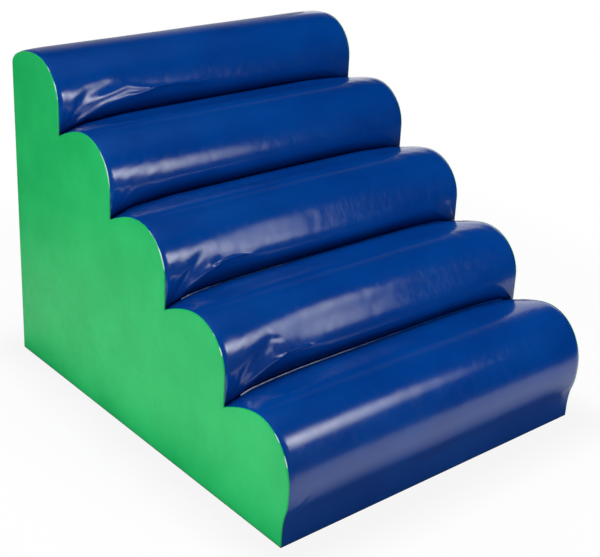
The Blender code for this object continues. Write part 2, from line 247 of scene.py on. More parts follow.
def add_sheet(name, grid, thickness, material):
    """A closed sheet: the grid, the same grid further in, and a rim all round."""
    rows, columns = grid.shape[:2]
    inner = grid - surface_normals(grid) * thickness
    index = np.arange(rows * columns).reshape(rows, columns)
    quads = grid_faces(index)
    ring = np.concatenate([index[:-1, 0], index[-1, :-1], index[:0:-1, -1], index[0, :0:-1]])
    following = np.roll(ring, -1)
    shift = rows * columns
    rim = np.stack([following, ring, ring + shift, following + shift], -1)
    faces = np.concatenate([quads, quads[:, ::-1] + shift, rim])
    points = np.concatenate([grid.reshape(-1, 3), inner.reshape(-1, 3)])
    made = add_mesh(name, points, faces.tolist(), material)
    made.data.set_sharp_from_angle(angle=sharp_edge)
    return made


def fan(from_end, from_valley, reach, height, count):
    """Fine creases that fan out from a valley's end."""
    distance = np.hypot(from_end, from_valley)
    direction = np.arctan2(from_valley, from_end)
    share = np.clip(distance / reach, 0, 1)
    strength = share * (1 - share) ** 2 * (27 / 4)
    return height * strength * np.cos(direction * count * 2)


crease_onset = 25 * mm
crease_fade_share = 0.35


def crease(from_end, from_valley, corners, height, width):
    """A ridge through these corners, or a furrow where the height is negative."""
    corners = np.array(corners) * mm
    best = np.full(from_end.shape, np.inf)
    place = np.zeros(from_end.shape)
    done = 0.0
    for here, following in zip(corners[:-1], corners[1:]):
        run = following - here
        length = np.linalg.norm(run)
        sideways, upwards = from_end - here[0], from_valley - here[1]
        share = np.clip((sideways * run[0] + upwards * run[1]) / length**2, 0, 1)
        gap = np.hypot(sideways - share * run[0], upwards - share * run[1])
        closer = gap < best
        best = np.where(closer, gap, best)
        place = np.where(closer, done + share * length, place)
        done += length
    fade = np.clip(place / crease_onset, 0, 1) * np.clip((done - place) / (crease_fade_share * done), 0, 1)
    fade = fade * fade * (3 - 2 * fade)
    return height * mm * fade * np.exp(-((best / (width * mm)) ** 2))


def add_node(tree, kind):
    """A new node, in a row with the others."""
    made = tree.nodes.new(kind)
    made.location = (200 * len(tree.nodes), 0)
    return made


def start_material(name, colour, roughness):
    """A new material with its node tree, shader and object coordinates."""
    material = bpy.data.materials.new(name)
    material.use_nodes = True
    material.diffuse_color = (*colour, 1)
    tree = material.node_tree
    shader = tree.nodes["Principled BSDF"]
    shader.inputs["Base Color"].default_value = (*colour, 1)
    shader.inputs["Roughness"].default_value = roughness
    coordinates = add_node(tree, "ShaderNodeTexCoord")
    return material, tree, shader, coordinates.outputs["Object"]


def stretched(tree, coordinates, scale, detail, roughness=0.5):
    """Noise with its own scale along each axis."""
    mapping = add_node(tree, "ShaderNodeMapping")
    mapping.inputs["Scale"].default_value = scale
    texture = add_node(tree, "ShaderNodeTexNoise")
    for socket, value in (("Scale", 1.0), ("Detail", detail), ("Roughness", roughness)):
        texture.inputs[socket].default_value = value
    tree.links.new(coordinates, mapping.inputs["Vector"])
    tree.links.new(mapping.outputs["Vector"], texture.inputs["Vector"])
    return texture.outputs["Fac"]


def ramp(tree, value, low, high, low_out, high_out):
    """value mapped from low..high to low_out..high_out, which are two numbers or two colours."""
    if isinstance(low_out, tuple):
        made = add_node(tree, "ShaderNodeValToRGB")
        for stop, position, colour in zip(made.color_ramp.elements, (low, high), (low_out, high_out)):
            stop.position = position
            stop.color = (*colour, 1)
        tree.links.new(value, made.inputs["Fac"])
        return made.outputs["Color"]
    made = add_node(tree, "ShaderNodeMapRange")
    for socket, limit in zip(("From Min", "From Max", "To Min", "To Max"), (low, high, low_out, high_out)):
        made.inputs[socket].default_value = limit
    tree.links.new(value, made.inputs["Value"])
    return made.outputs["Result"]


def vary(tree, shader, socket, pattern, low_out, high_out, low=0.3, high=0.7):
    """Let a socket of the shader follow a pattern from low_out to high_out."""
    tree.links.new(ramp(tree, pattern, low, high, low_out, high_out), shader.inputs[socket])


def bump(tree, shader, height, depth):
    """Bumps as deep as depth in metres."""
    made = add_node(tree, "ShaderNodeBump")
    made.inputs["Strength"].default_value = 1.0
    made.inputs["Distance"].default_value = depth
    tree.links.new(height, made.inputs["Height"])
    tree.links.new(made.outputs["Normal"], shader.inputs["Normal"])


def make_vinyl(name, deep, pale, roughness, grain_depth, shine, painted_shade=None):
    """Coated fabric with slow changes of tone, its grain, scuffs in its gloss and any painted shade by the
    valleys.
    """
    material, tree, shader, coordinates = start_material(name, pale, sum(roughness) / 2)
    shade = stretched(tree, coordinates, (5, 7, 7), 3)
    colour = ramp(tree, shade, 0.35, 0.65, deep, pale)
    # painted shade: the colour is darkened towards the valley seams, as far as the by_valley attribute says
    if painted_shade:
        seam = add_node(tree, "ShaderNodeAttribute")
        seam.attribute_name = "by_valley"
        darker = add_node(tree, "ShaderNodeMixRGB")
        darker.inputs["Color2"].default_value = (*painted_shade, 1)
        tree.links.new(seam.outputs["Fac"], darker.inputs["Fac"])
        tree.links.new(colour, darker.inputs["Color1"])
        colour = darker.outputs["Color"]
    tree.links.new(colour, shader.inputs["Base Color"])
    scuffs = stretched(tree, coordinates, (150, 40, 40), 6, 0.7)
    vary(tree, shader, "Roughness", scuffs, *roughness, 0.38, 0.64)
    grain = stretched(tree, coordinates, (170, 45, 45), 4, 0.6)
    bump(tree, shader, grain, grain_depth)
    shader.inputs["Specular IOR Level"].default_value = shine
    return material


# its darkest colour is painted shade, laid on the cloth beside the valley seams
blue_vinyl = make_vinyl(
    "blue_vinyl", deep=(0.0, 0.040, 0.250), pale=(0.0, 0.052, 0.295), painted_shade=(0.0, 0.002, 0.060),
    roughness=(0.12, 0.25), grain_depth=0.026 * mm, shine=0.775,
)

# The pressed cloth's grid, rounding and time, and how much of its wrinkles is kept
cloth_columns = 161
cloth_rows = 62
cloth_rounding = 14 * mm
cloth_frames = 14
wrinkle_share = 0.095
wrinkle_cap = 0.6 * mm
swell_reach = 5


def pressed_cloth(start):
    """How far a panel's points move when it is cut large, held at its seams and pressed out."""
    index = np.arange(start[:, :, 0].size).reshape(start.shape[:2])
    cloth = add_mesh("cloth", start.reshape(-1, 3), grid_faces(index).tolist(), blue_vinyl)
    held = cloth.vertex_groups.new(name="held")
    held.add(np.concatenate([index[0], index[-1], index[:, 0], index[:, -1]]).tolist(), 1.0, "REPLACE")
    press = cloth.modifiers.new("press", "CLOTH")
    press.point_cache.frame_start = 1
    press.point_cache.frame_end = cloth_frames
    press.settings.vertex_group_mass = held.name
    press.settings.quality = 3
    press.settings.mass = 0.02
    press.settings.use_pressure = True
    press.settings.uniform_pressure_force = 10
    press.settings.shrink_min = -0.008
    press.settings.bending_stiffness = 5
    press.settings.effector_weights.gravity = 0
    for number in range(1, cloth_frames + 1):
        bpy.context.scene.frame_set(number)
    pressed = cloth.evaluated_get(bpy.context.evaluated_depsgraph_get())
    moved = np.empty(start.size)
    pressed.data.vertices.foreach_get("co", moved)
    bpy.data.objects.remove(cloth)
    bpy.context.scene.frame_set(1)
    return ((moved.reshape(start.shape) - start) * surface_normals(start)).sum(2)


def even_weights(count, places, reach=None):
    """Weights that carry evenly spaced values over to places from 0 to 1, blurred over a reach."""
    gap = np.abs(places[:, None] * (count - 1) - np.arange(count)[None, :])
    if reach:
        weights = np.exp(-(gap**2) / (2 * reach**2))
    else:
        weights = np.where(gap < 1, 4 - 6 * gap**2 + 3 * gap**3, np.clip(2 - gap, 0, 1) ** 3)
    return weights / weights.sum(1, keepdims=True)


def wrinkles(start, across_shares, along_shares):
    """A pressed panel's small wrinkles at these shares of its width and length."""
    heights = pressed_cloth(start)
    wide, long = heights.shape
    blur_across = even_weights(wide, np.linspace(0, 1, wide), swell_reach)
    blur_along = even_weights(long, np.linspace(0, 1, long), swell_reach)
    broad = blur_across @ heights @ blur_along.T
    small = even_weights(wide, across_shares) @ (heights - broad) @ even_weights(long, along_shares).T
    return wrinkle_cap * np.tanh(wrinkle_share * small / wrinkle_cap)


# step: its folds, each (corners, height, width) in mm; a corner is (from the side seam, from the valley)
left_pulls = {
    1: ((((12, 60), (57, 100)), 1.3, 6), (((16, 100), (61, 140)), 1.3, 6)),
    2: (
        (((0, 0), (153, 73), (205, 91)), 3.6, 10),
        (((30, 50), (100, 92), (175, 122)), -3.4, 20),
        (((128, 108), (150, 128), (185, 148)), -1.2, 6),
    ),
    3: (
        (((0, 0), (150, 75), (200, 92)), 3.6, 10),
        (((0, 0), (60, 62), (97, 96), (130, 122)), -2.6, 11),
        (((130, 60), (150, 90), (170, 126)), -1.8, 7),
    ),
    5: (
        (((0, 0), (139, 55), (337, 85), (540, 74)), 3.2, 9),
        (((40, 50), (90, 88), (200, 116)), -3.2, 17),
        (((110, 70), (220, 96), (350, 120)), 1.4, 8),
    ),
}
right_pulls = {
    1: ((((15, 55), (60, 100)), 1.2, 8),),
    3: (
        (((0, 0), (60, 28), (120, 62)), 3.0, 7),
        (((25, 40), (80, 78), (160, 104)), -3.2, 22),
    ),
    5: (
        (((0, 0), (60, 30), (135, 53)), 2.0, 5),
        (((30, 45), (70, 62), (120, 85)), -1.6, 15),
    ),
}

# step: how far its front is drawn flat, how far below the crest, and the recess above its lower seam, in mm
fronts = {1: (0, 62, 0), 2: (10.5, 58, 3), 3: (7.5, 63, 4), 4: (0.5, 52, 3), 5: (2, 74, 2)}
flat_height = 42 * mm
flat_lean = 0.010
flat_start = 40 * mm
flat_left_reach = 280 * mm
flat_right_reach = 320 * mm
front_blend = 12 * mm
recess_place = 26 * mm
recess_width = 20 * mm
recess_reach = 220 * mm
rear_swell = 7 * mm
rear_swell_place = 42 * mm
rear_swell_width = 34 * mm
rear_swell_reach = 180 * mm

# height and length of the slow waves in which the cloth lies, and of its small dents
lie_height, lie_length = 0.6 * mm, 0.13
dent_height, dent_length = 0.22 * mm, 0.035
held_by_seam = 14 * mm
held_by_valley = 45 * mm
pucker_height = 0.30 * mm
pucker_length = 5.2 * mm
pucker_reach = 9 * mm
seam_sink = 0.35 * mm
seam_sink_reach = 2.5 * mm
edge_hold = 12 * mm
valley_shade_reach = 34 * mm
rear_valley_shade_share = 0.35
valley_shade_share = 0.9

even = np.linspace(0, 1, cloth_rows)
for step in steps:
    roundings = [(1 + 1.2 * min(1.0, (half_width - abs(x)) / (120 * mm))) * ridge_rounding for x in across]
    lines, reach = zip(*[resample(panel_line(step, x), along_places, r) for x, r in zip(across, roundings)])
    grid = np.array([[(x, y, z) for y, z in line] for x, line in zip(across, lines)])
    along = along_places[None, :] * np.array(reach)[:, None]
    from_left = across[:, None] + half_width + 0 * along
    from_right = half_width - across[:, None] + 0 * along
    from_edge = np.minimum(from_left, from_right)
    from_rear = along[:, -1:] - along
    height = lie_height * smooth_noise(grid, lie_length, step)
    height = height + dent_height * smooth_noise(grid, dent_length, step + 10)

    start = []
    for x in np.linspace(-half_width, half_width, cloth_columns):
        line = resample(panel_line(step, x, pulled=False), even, cloth_rounding)[0]
        start.append([(x, y, z) for y, z in line])
    settled = np.clip(from_edge / held_by_seam, 0, 1)
    settled = settled * np.clip(np.minimum(along, from_rear) / held_by_valley, 0, 1)
    height += wrinkles(np.array(start), (across + half_width) / (2 * half_width), along_places) * settled

    crest_y = first_front_y + (step - 0.5) * going
    crest_z = first_crest_z + (step - 1) * rise
    flattening, flat_drop, recess_depth = (value * mm for value in fronts[step])
    in_front = 1 / (1 + np.exp((grid[:, :, 1] - crest_y) / front_blend))
    below_crest = grid[:, :, 2] - crest_z + flat_drop + flat_lean * from_left
    flat = np.exp(-((below_crest / flat_height) ** 2)) * in_front
    away = np.clip((from_left - flat_start) / flat_left_reach, 0, 1)
    away = away * np.clip(from_right / flat_right_reach, 0, 1)
    height -= flattening * flat * away * away * (3 - 2 * away)

    if step > 1:
        recess = np.exp(-(((along - recess_place) / recess_width) ** 2))
        height -= recess_depth * (recess * np.clip(from_edge / recess_reach, 0, 1))
        left_fan = fan(from_left, along, 130 * mm, 0.5 * mm, 9)
        height += left_fan + fan(from_right, along, 110 * mm, 0.4 * mm, 8)
    if step < 5:
        swell = np.exp(-(((from_rear - rear_swell_place) / rear_swell_width) ** 2))
        height += rear_swell * swell * np.clip(from_edge / rear_swell_reach, 0, 1)
        left_fan = fan(from_left, from_rear, 120 * mm, 0.45 * mm, 8)
        height += left_fan + fan(from_right, from_rear, 90 * mm, 0.4 * mm, 7)
    for pull in left_pulls.get(step, ()):
        height += crease(from_left, along, *pull)
    for pull in right_pulls.get(step, ()):
        height += crease(from_right, along, *pull)
    pucker = np.sin(along / pucker_length + 2.5 * smooth_noise(grid, 0.05, step + 20))
    height += pucker_height * pucker * np.exp(-from_edge / pucker_reach)
    height -= seam_sink * np.exp(-from_edge / seam_sink_reach)
    edge_fade = np.minimum(1, np.minimum(along, from_rear) / edge_hold)
    grid = grid + surface_normals(grid) * (height * edge_fade)[:, :, None]
    panel = add_sheet(f"step_cover_{step}", grid, cover_thickness, blue_vinyl)

    # Painted shade: the cloth's colour is darkened on both sides of the valley seams, where shade falls.
    valley_shade = np.exp(-((along / valley_shade_reach) ** 2)) * valley_shade_share if step > 1 else 0 * along
    if step < 5:
        valley_shade = valley_shade + valley_shade_share * np.exp(-((from_rear / (rear_valley_shade_share * valley_shade_reach)) ** 2))
    by_valley = panel.data.attributes.new("by_valley", "FLOAT", "POINT")
    by_valley.data.foreach_set("value", np.tile(valley_shade.ravel(), 2))
    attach(panel, "climber")
    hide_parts(f"step_panel_{step}")

# Valley seams
# Down in each valley the edges of two panels are folded together and sewn. The fold is a lip of the same blue
# cloth that lies forward, is tipped up in the lower two valleys and stops short of the side seams.
welt_end = 42 * mm
welt_thickness = 1.2 * mm
welt_half = 0.6 * mm
welt_gap = 0.3 * mm
welt_wave = 0.4 * mm
tip_wander = 0.25
steepest_tip = 109
# step: the lip's distance from the valley, its width, and its tip upwards at its left and right ends, degrees
welt_lips = {
    1: (9 * mm, 3.8 * mm, steepest_tip, 75),
    2: (8 * mm, 2.6 * mm, 100, 70),
    3: (4.5 * mm, 6 * mm, 0, 0),
    4: (4.5 * mm, 6 * mm, 0, 0),
}
for step in range(1, 5):
    sections = []
    welt_stand_off, welt_width, left_lift, right_lift = welt_lips[step]
    for x in across[np.abs(across) < half_width - welt_end]:
        lift = math.radians(left_lift + (right_lift - left_lift) * (x + half_width) / (2 * half_width))
        lift += tip_wander * left_lift / steepest_tip * noise.noise(Vector((x / 0.035, step * 2.3, 0)))
        line = panel_line(step, x)
        root = line[-1]
        slope = line[-4] - root
        slope /= np.linalg.norm(slope)
        away = np.array([slope[1], -slope[0]])
        lean = slope * math.cos(lift) + away * math.sin(lift)
        out = away * math.cos(lift) - slope * math.sin(lift)
        wave = welt_wave * noise.noise(Vector((x / 0.02, step * 3.7, 0)))
        base = root + slope * (welt_stand_off + wave) + away * welt_gap
        section = [base]
        for angle in np.linspace(0, math.pi, 7):
            reach = welt_width - welt_half + welt_half * math.sin(angle)
            section.append(base + lean * reach + out * welt_half * (1 - math.cos(angle)))
        section.append(base + out * welt_thickness)
        sections.append([(x, y, z) for y, z in section])
    count = len(sections[0])
    points = [p for section in sections for p in section]
    faces = []
    for row in range(len(sections) - 1):
        for i in range(count):
            a, b = row * count + i, row * count + (i + 1) % count
            faces.append((a, b, b + count, a + count))
    faces.append(tuple(range(count))[::-1])
    faces.append(tuple(range(len(points) - count, len(points))))
    welt = add_mesh(f"valley_seam_{step}", points, faces, blue_vinyl)
    welt.data.set_sharp_from_angle(angle=sharp_edge)
    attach(welt, "climber")
    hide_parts(f"valley_welt_{step}")

# Green sides
# Two panels of the same cloth in green with a softer gloss, cut to the wave over thin wadding. The seam draws
# them in all round, with small puckers, and they stand out a little inside it.
green_vinyl = make_vinyl(
    "green_vinyl", deep=(0.010, 0.400, 0.102), pale=(0.016, 0.455, 0.120),
    roughness=(0.38, 0.50), grain_depth=0.05 * mm, shine=0.35,
)
side_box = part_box("side_panel_right")
seam_x = side_box[0][0]
side_x = side_box[1][0]
border_spacing = 4 * mm
side_crown_width = 16 * mm
rim_round = 2.2 * mm
rim_share = 0.75
side_inset = 0.3 * mm
side_lie = 0.5 * mm
ripple_height = 0.25 * mm
ripple_length = 4.0 * mm
ripple_reach = 7 * mm
back_line = curve((back_y, tail_z), (back_y, tail_z), (back_y, foot_z))
side_outline = np.concatenate([panel_line(step, half_width) for step in steps] + [back_line])
side_outline = side_outline[np.linalg.norm(side_outline - np.roll(side_outline, 1, 0), axis=1) > 1e-6]


def along_outline(outline, spacing):
    """Points spaced along a closed outline, its sharp corners among them."""
    points = []
    count = len(outline)
    carried = 0.0
    for i in range(count):
        before, here, following = outline[i - 1], outline[i], outline[(i + 1) % count]
        run = following - here
        length = np.linalg.norm(run)
        turn = np.dot(run, here - before) / (length * np.linalg.norm(here - before) + 1e-12)
        if turn < 0.9:
            points.append(here)
            carried = 0.0
        place = spacing - carried
        while place < length - 0.3 * spacing:
            points.append(here + run * place / length)
            place += spacing
        carried = (length - (place - spacing)) if length >= spacing - carried else carried + length
    return np.array(points)


def distance_to(outline, points):
    """Distance from each point to a closed outline."""
    best = np.full(len(points), np.inf)
    for here, following in zip(outline, np.roll(outline, -1, 0)):
        run = following - here
        share = np.clip(((points - here) @ run) / (run @ run), 0, 1)
        best = np.minimum(best, np.linalg.norm(points - here - share[:, None] * run, axis=1))
    return best


def inside(outline, points):
    """Which of the points are inside a closed outline."""
    crossings = np.zeros(len(points), int)
    for here, following in zip(outline, np.roll(outline, -1, 0)):
        if here[1] == following[1]:
            continue
        spans = (here[1] > points[:, 1]) != (following[1] > points[:, 1])
        at = here[0] + (points[:, 1] - here[1]) / (following[1] - here[1]) * (following[0] - here[0])
        crossings += spans & (points[:, 0] < at)
    return crossings % 2 == 1


border = along_outline(side_outline, border_spacing)
low, high = side_outline.min(0), side_outline.max(0)
before, after = np.roll(border, 1, 0), np.roll(border, -1, 0)
inward = np.stack([before[:, 1] - after[:, 1], after[:, 0] - before[:, 0]], 1)
inward /= np.linalg.norm(inward, axis=1, keepdims=True)
if not inside(side_outline, border[:1] + inward[:1] * mm)[0]:
    inward = -inward
rings = []
for depth in (0.4 * mm, 1.0 * mm, 1.8 * mm, 2.8 * mm):
    ring = border + inward * depth
    ring = ring[inside(side_outline, ring)]
    rings.append(ring[distance_to(side_outline, ring) > 0.9 * depth])
lattices = []
for spacing, nearest, furthest in ((3.5 * mm, 4.4 * mm, 24 * mm), (8 * mm, 24 * mm, 2.0)):
    ys = np.arange(low[0], high[0], spacing)
    zs = np.arange(low[1], high[1], spacing * 0.87)
    lattice = np.array([(y + (row % 2) * spacing / 2, z) for row, z in enumerate(zs) for y in ys])
    lattice = lattice[inside(side_outline, lattice)]
    gap = distance_to(side_outline, lattice)
    lattices.append(lattice[(gap > nearest) & (gap <= furthest)])
flat = np.concatenate([border] + rings + lattices)
edges = [(i, (i + 1) % len(border)) for i in range(len(border))]
cut = delaunay_2d_cdt([Vector(p) for p in flat], edges, [], 1, 1e-6)
flat = np.array([tuple(p) for p in cut[0]])
triangles = np.array([face for face in cut[2]])
from_seam_line = distance_to(side_outline, flat)

for name, node, side in (
    ("side_cover_left", "side_panel_left", -1),
    ("side_cover_right", "side_panel_right", 1),
):
    place = np.stack([np.full(len(flat), side * 0.1), flat[:, 0], flat[:, 1]], 1)
    share = np.clip(from_seam_line / side_crown_width, 0, 1)
    turned = np.clip(from_seam_line / rim_round, 0, 1)
    swelled = rim_share * np.sqrt(1 - (1 - turned) ** 2) + (1 - rim_share) * (1 - (1 - share) ** 2)
    stand = seam_x + (side_x - seam_x) * swelled - side_inset
    stand += side_lie * smooth_noise(place, 0.16, 31 + side) * share
    ripple = (flat[:, 0] * 0.8 + flat[:, 1]) / ripple_length + 3 * smooth_noise(place, 0.04, 41 + side)
    stand += ripple_height * np.sin(ripple) * np.exp(-from_seam_line / ripple_reach) * share**0.5
    outer = np.stack([side * stand, flat[:, 0], flat[:, 1]], 1)
    inner = outer - np.array([side * cover_thickness, 0, 0])
    count = len(flat)
    order = triangles if side < 0 else triangles[:, ::-1]
    links = dict.fromkeys(pair for a, b, c in order for pair in ((a, b), (b, c), (c, a)))
    rim = [(b, a, a + count, b + count) for a, b in links if (b, a) not in links]
    faces = order.tolist() + (order[:, ::-1] + count).tolist() + rim
    cover = add_mesh(name, np.concatenate([outer, inner]), faces, green_vinyl)
    cover.data.set_sharp_from_angle(angle=sharp_edge)
    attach(cover, "climber")
    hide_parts(node)

# Side seam edges
# Where a side seam is drawn tight over the nosings, the cut edge of the cloth shows here and there between
# the two colours, as a thin pale line of its woven backing. The line is also a painted highlight: it is
# thickest where the seam faces up and to the front, where the softbox's glints fall.
seam_edge_and_glint, tree, shader, coordinates = start_material("seam_edge_and_glint", (0.45, 0.75, 0.60), 0.35)
fray = stretched(tree, coordinates, (700, 700, 700), 3)
vary(tree, shader, "Base Color", fray, (0.42, 0.72, 0.58), (0.75, 0.90, 0.85))
bump(tree, shader, fray, 0.2 * mm)
edge_radius = {-1: 1.5 * mm, 1: 0.6 * mm}
round_sides = 6
edge_sink = 0.35 * mm
edge_inset = 0.2 * mm
for name, side in (("seam_edge_and_glint_left", -1), ("seam_edge_and_glint_right", 1)):
    points, faces = [], []
    count = len(border)
    for (y, z), (in_y, in_z) in zip(border, inward):
        # painted highlight: the pale edge is thickest where the seam faces up and to the front, towards the
        # softbox
        glint_facing = np.clip((in_y - 0.25) / 0.4, 0, 1) * np.clip(1 - abs(-in_z - 0.55) / 0.55, 0, 1)
        patchy = np.clip(0.35 + 2.6 * noise.noise(Vector((side * 3.0, y / 0.03, z / 0.03))), 0, 1)
        radius = edge_radius[side] * float(glint_facing**0.5 * patchy)
        for turn in range(round_sides):
            angle = turn * math.tau / round_sides
            across_seam = side * (seam_x - edge_inset) + radius * math.cos(angle)
            outwards = radius * math.sin(angle) - edge_sink
            points.append((across_seam, y - in_y * outwards, z - in_z * outwards))
    for i in range(count):
        here, following = i * round_sides, (i + 1) % count * round_sides
        for turn in range(round_sides):
            a, b = turn, (turn + 1) % round_sides
            face = (here + a, here + b, following + b, following + a)
            faces.append(face if side > 0 else face[::-1])
    edge = add_mesh(name, points, faces, seam_edge_and_glint)
    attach(edge, "climber")

# Back panels
# The back is the same blue cloth in two flat pieces, sewn in at the sides, the top and the base. Each has a
# turned hem along the zip, and a row of stitches draws the hem down onto the zip's tape.
hem_rise = 0.5 * mm
hem_width = 13 * mm
hem_step = 1.2 * mm
stitch_rows = (2.5 * mm, 9.5 * mm)
stitch_spacing = 4.2 * mm
stitch_groove = 1.2 * mm
back_lie = 0.9 * mm
back_sink = 0.6 * mm
back_sink_reach = 4 * mm
back_wrinkle_share = 1.5
back_columns, back_rows = 121, 81
for name, node in (("back_cover_lower", "back_panel_lower"), ("back_cover_upper", "back_panel_upper")):
    low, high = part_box(node)
    tall = high[2] - low[2]
    xs = across[::2]
    zs = spread((16 * mm, tall - 16 * mm, tall), (0.8 * mm, 12 * mm, 0.8 * mm)) + low[2]
    grid = np.array([[(x, back_y, z) for z in zs] for x in xs])[::-1]
    from_low, from_high = grid[:, :, 2] - low[2], high[2] - grid[:, :, 2]
    gap = np.minimum(half_width - np.abs(grid[:, :, 0]), np.minimum(from_low, from_high))
    height = back_lie * smooth_noise(grid, 0.15, 50) * np.clip(gap / (30 * mm), 0, 1)
    if name == "back_cover_upper":
        even_x = np.linspace(half_width, -half_width, back_columns)
        even_z = np.linspace(low[2], high[2], back_rows)
        start = np.array([[(x, back_y, z) for z in even_z] for x in even_x])
        shares = (half_width - xs[::-1]) / (2 * half_width), (zs - low[2]) / (high[2] - low[2])
        height += back_wrinkle_share * wrinkles(start, *shares) * np.clip(gap / held_by_seam, 0, 1)
    height -= back_sink * np.exp(-gap / back_sink_reach)
    zip_edge = from_high if name == "back_cover_lower" else from_low
    height += hem_rise / 2 * (1 - np.tanh((zip_edge - hem_width) / hem_step))
    seat = 0.35 * mm * np.cos(grid[:, :, 0] / stitch_spacing * math.tau + 3 * smooth_noise(grid, 0.03, 52))
    groove = np.exp(-(((zip_edge - stitch_rows[0]) / stitch_groove) ** 2))
    height += (0.10 * mm - 0.3 * seat) * groove - 0.1 * mm
    grid[:, :, 1] += height
    panel = add_sheet(name, grid, cover_thickness, blue_vinyl)
    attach(panel, "climber")
    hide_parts(node)

# Base
# A dark sheet of rubber closes the cover underneath and is sewn to it all round. Its underside is dimpled,
# so that the climber doesn't slip.
base_rubber, tree, shader, coordinates = start_material("base_rubber", (0.012, 0.012, 0.015), 0.75)


def cell_pattern(tree, coordinates, scale):
    """Round cells, from 0 in their middles up to their borders."""
    made = add_node(tree, "ShaderNodeTexVoronoi")
    made.inputs["Scale"].default_value = scale
    tree.links.new(coordinates, made.inputs["Vector"])
    return made.outputs["Distance"]


dots = cell_pattern(tree, coordinates, 140)
dust = stretched(tree, coordinates, (30, 30, 30), 4)
vary(tree, shader, "Base Color", dust, (0.010, 0.010, 0.012), (0.022, 0.022, 0.025))
bump(tree, shader, dots, 0.5 * mm)
low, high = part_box("base_panel")
xs = np.linspace(low[0], high[0], 81)
ys = np.linspace(low[1], high[1], 97)
grid = np.array([[(x, y, high[2]) for y in ys] for x in xs])
base = add_sheet("base_sheet", grid, high[2] - low[2], base_rubber)
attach(base, "climber")
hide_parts("base_panel")

# Foam
# The core is open-cell foam: four sawn slabs and five softer nosings cut to the wave, all glued together. The
# blocks are a little smaller here than in the CAD model, so that they stay clear of the cover.
foam_cells, tree, shader, coordinates = start_material("foam_cells", (0.72, 0.69, 0.60), 0.95)
cells = cell_pattern(tree, coordinates, 700)
vary(tree, shader, "Base Color", cells, (0.50, 0.47, 0.39), (0.76, 0.73, 0.64), 0.1)
bump(tree, shader, cells, 0.4 * mm)
foam_ease = 7 * mm
foam_front_ease = 14 * mm
foam_rounding = 3 * mm


def soften_edges(piece, width, angle):
    """Round every edge that is sharper than this many degrees."""
    softened = piece.modifiers.new("softened edges", "BEVEL")
    softened.width = width
    softened.segments = 2
    softened.limit_method = "ANGLE"
    softened.angle_limit = math.radians(angle)


for node in [f"foam_slab_{n}" for n in range(1, 5)] + [f"foam_nosing_{n}" for n in range(1, 6)]:
    block = bmesh.new()
    block.from_mesh(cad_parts[node].data)
    bmesh.ops.remove_doubles(block, verts=block.verts, dist=0.01 * mm)
    block.normal_update()
    moves = []
    for vertex in block.verts:
        inwards = -vertex.normal * foam_ease * min(1.6, vertex.calc_shell_factor())
        inwards.y += foam_front_ease * max(0.0, -vertex.normal.y)
        moves.append(inwards)
    for vertex, inwards in zip(block.verts, moves):
        vertex.co += inwards
    mesh = bpy.data.meshes.new(node + "_block")
    block.to_mesh(mesh)
    block.free()
    mesh.materials.clear()
    mesh.materials.append(foam_cells)
    foam = bpy.data.objects.new(node + "_block", mesh)
    bpy.context.collection.objects.link(foam)
    soften_edges(foam, foam_rounding, 60)
    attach(foam, "climber")
    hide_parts(node)

# Zip tapes
# A moulded zip closes the slot across the back. Its two ribbed tapes are woven from dark polyester, and they
# lie behind the hems of the back panels.
zip_tape, tree, shader, coordinates = start_material("zip_tape", (0.008, 0.012, 0.035), 0.9)
ribs = add_node(tree, "ShaderNodeTexWave")
ribs.bands_direction = "DIAGONAL"
ribs.inputs["Scale"].default_value = 420
ribs.inputs["Distortion"].default_value = 1.5
tree.links.new(coordinates, ribs.inputs["Vector"])
vary(tree, shader, "Base Color", ribs.outputs["Fac"], (0.005, 0.008, 0.026), (0.016, 0.022, 0.055), 0.2, 0.8)
bump(tree, shader, ribs.outputs["Fac"], 0.15 * mm)
tape_inset = 0.15 * mm
tape_lie = 0.12 * mm
for name, node in (("zip_tape_cloth_lower", "zip_tape_lower"), ("zip_tape_cloth_upper", "zip_tape_upper")):
    low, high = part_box(node)
    tall = high[2] - low[2]
    xs = np.linspace(high[0], low[0], 177)
    zs = spread((1.5 * mm, tall - 1.5 * mm, tall), (0.5 * mm, 2.4 * mm, 0.5 * mm)) + low[2]
    grid = np.array([[(x, high[1] - tape_inset, z) for z in zs] for x in xs])
    grid[:, :, 1] += tape_lie * smooth_noise(grid, 0.02, 60)
    tape = add_sheet(name, grid, high[1] - low[1] - 2 * tape_inset, zip_tape)
    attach(tape, "climber")
    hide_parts(node)

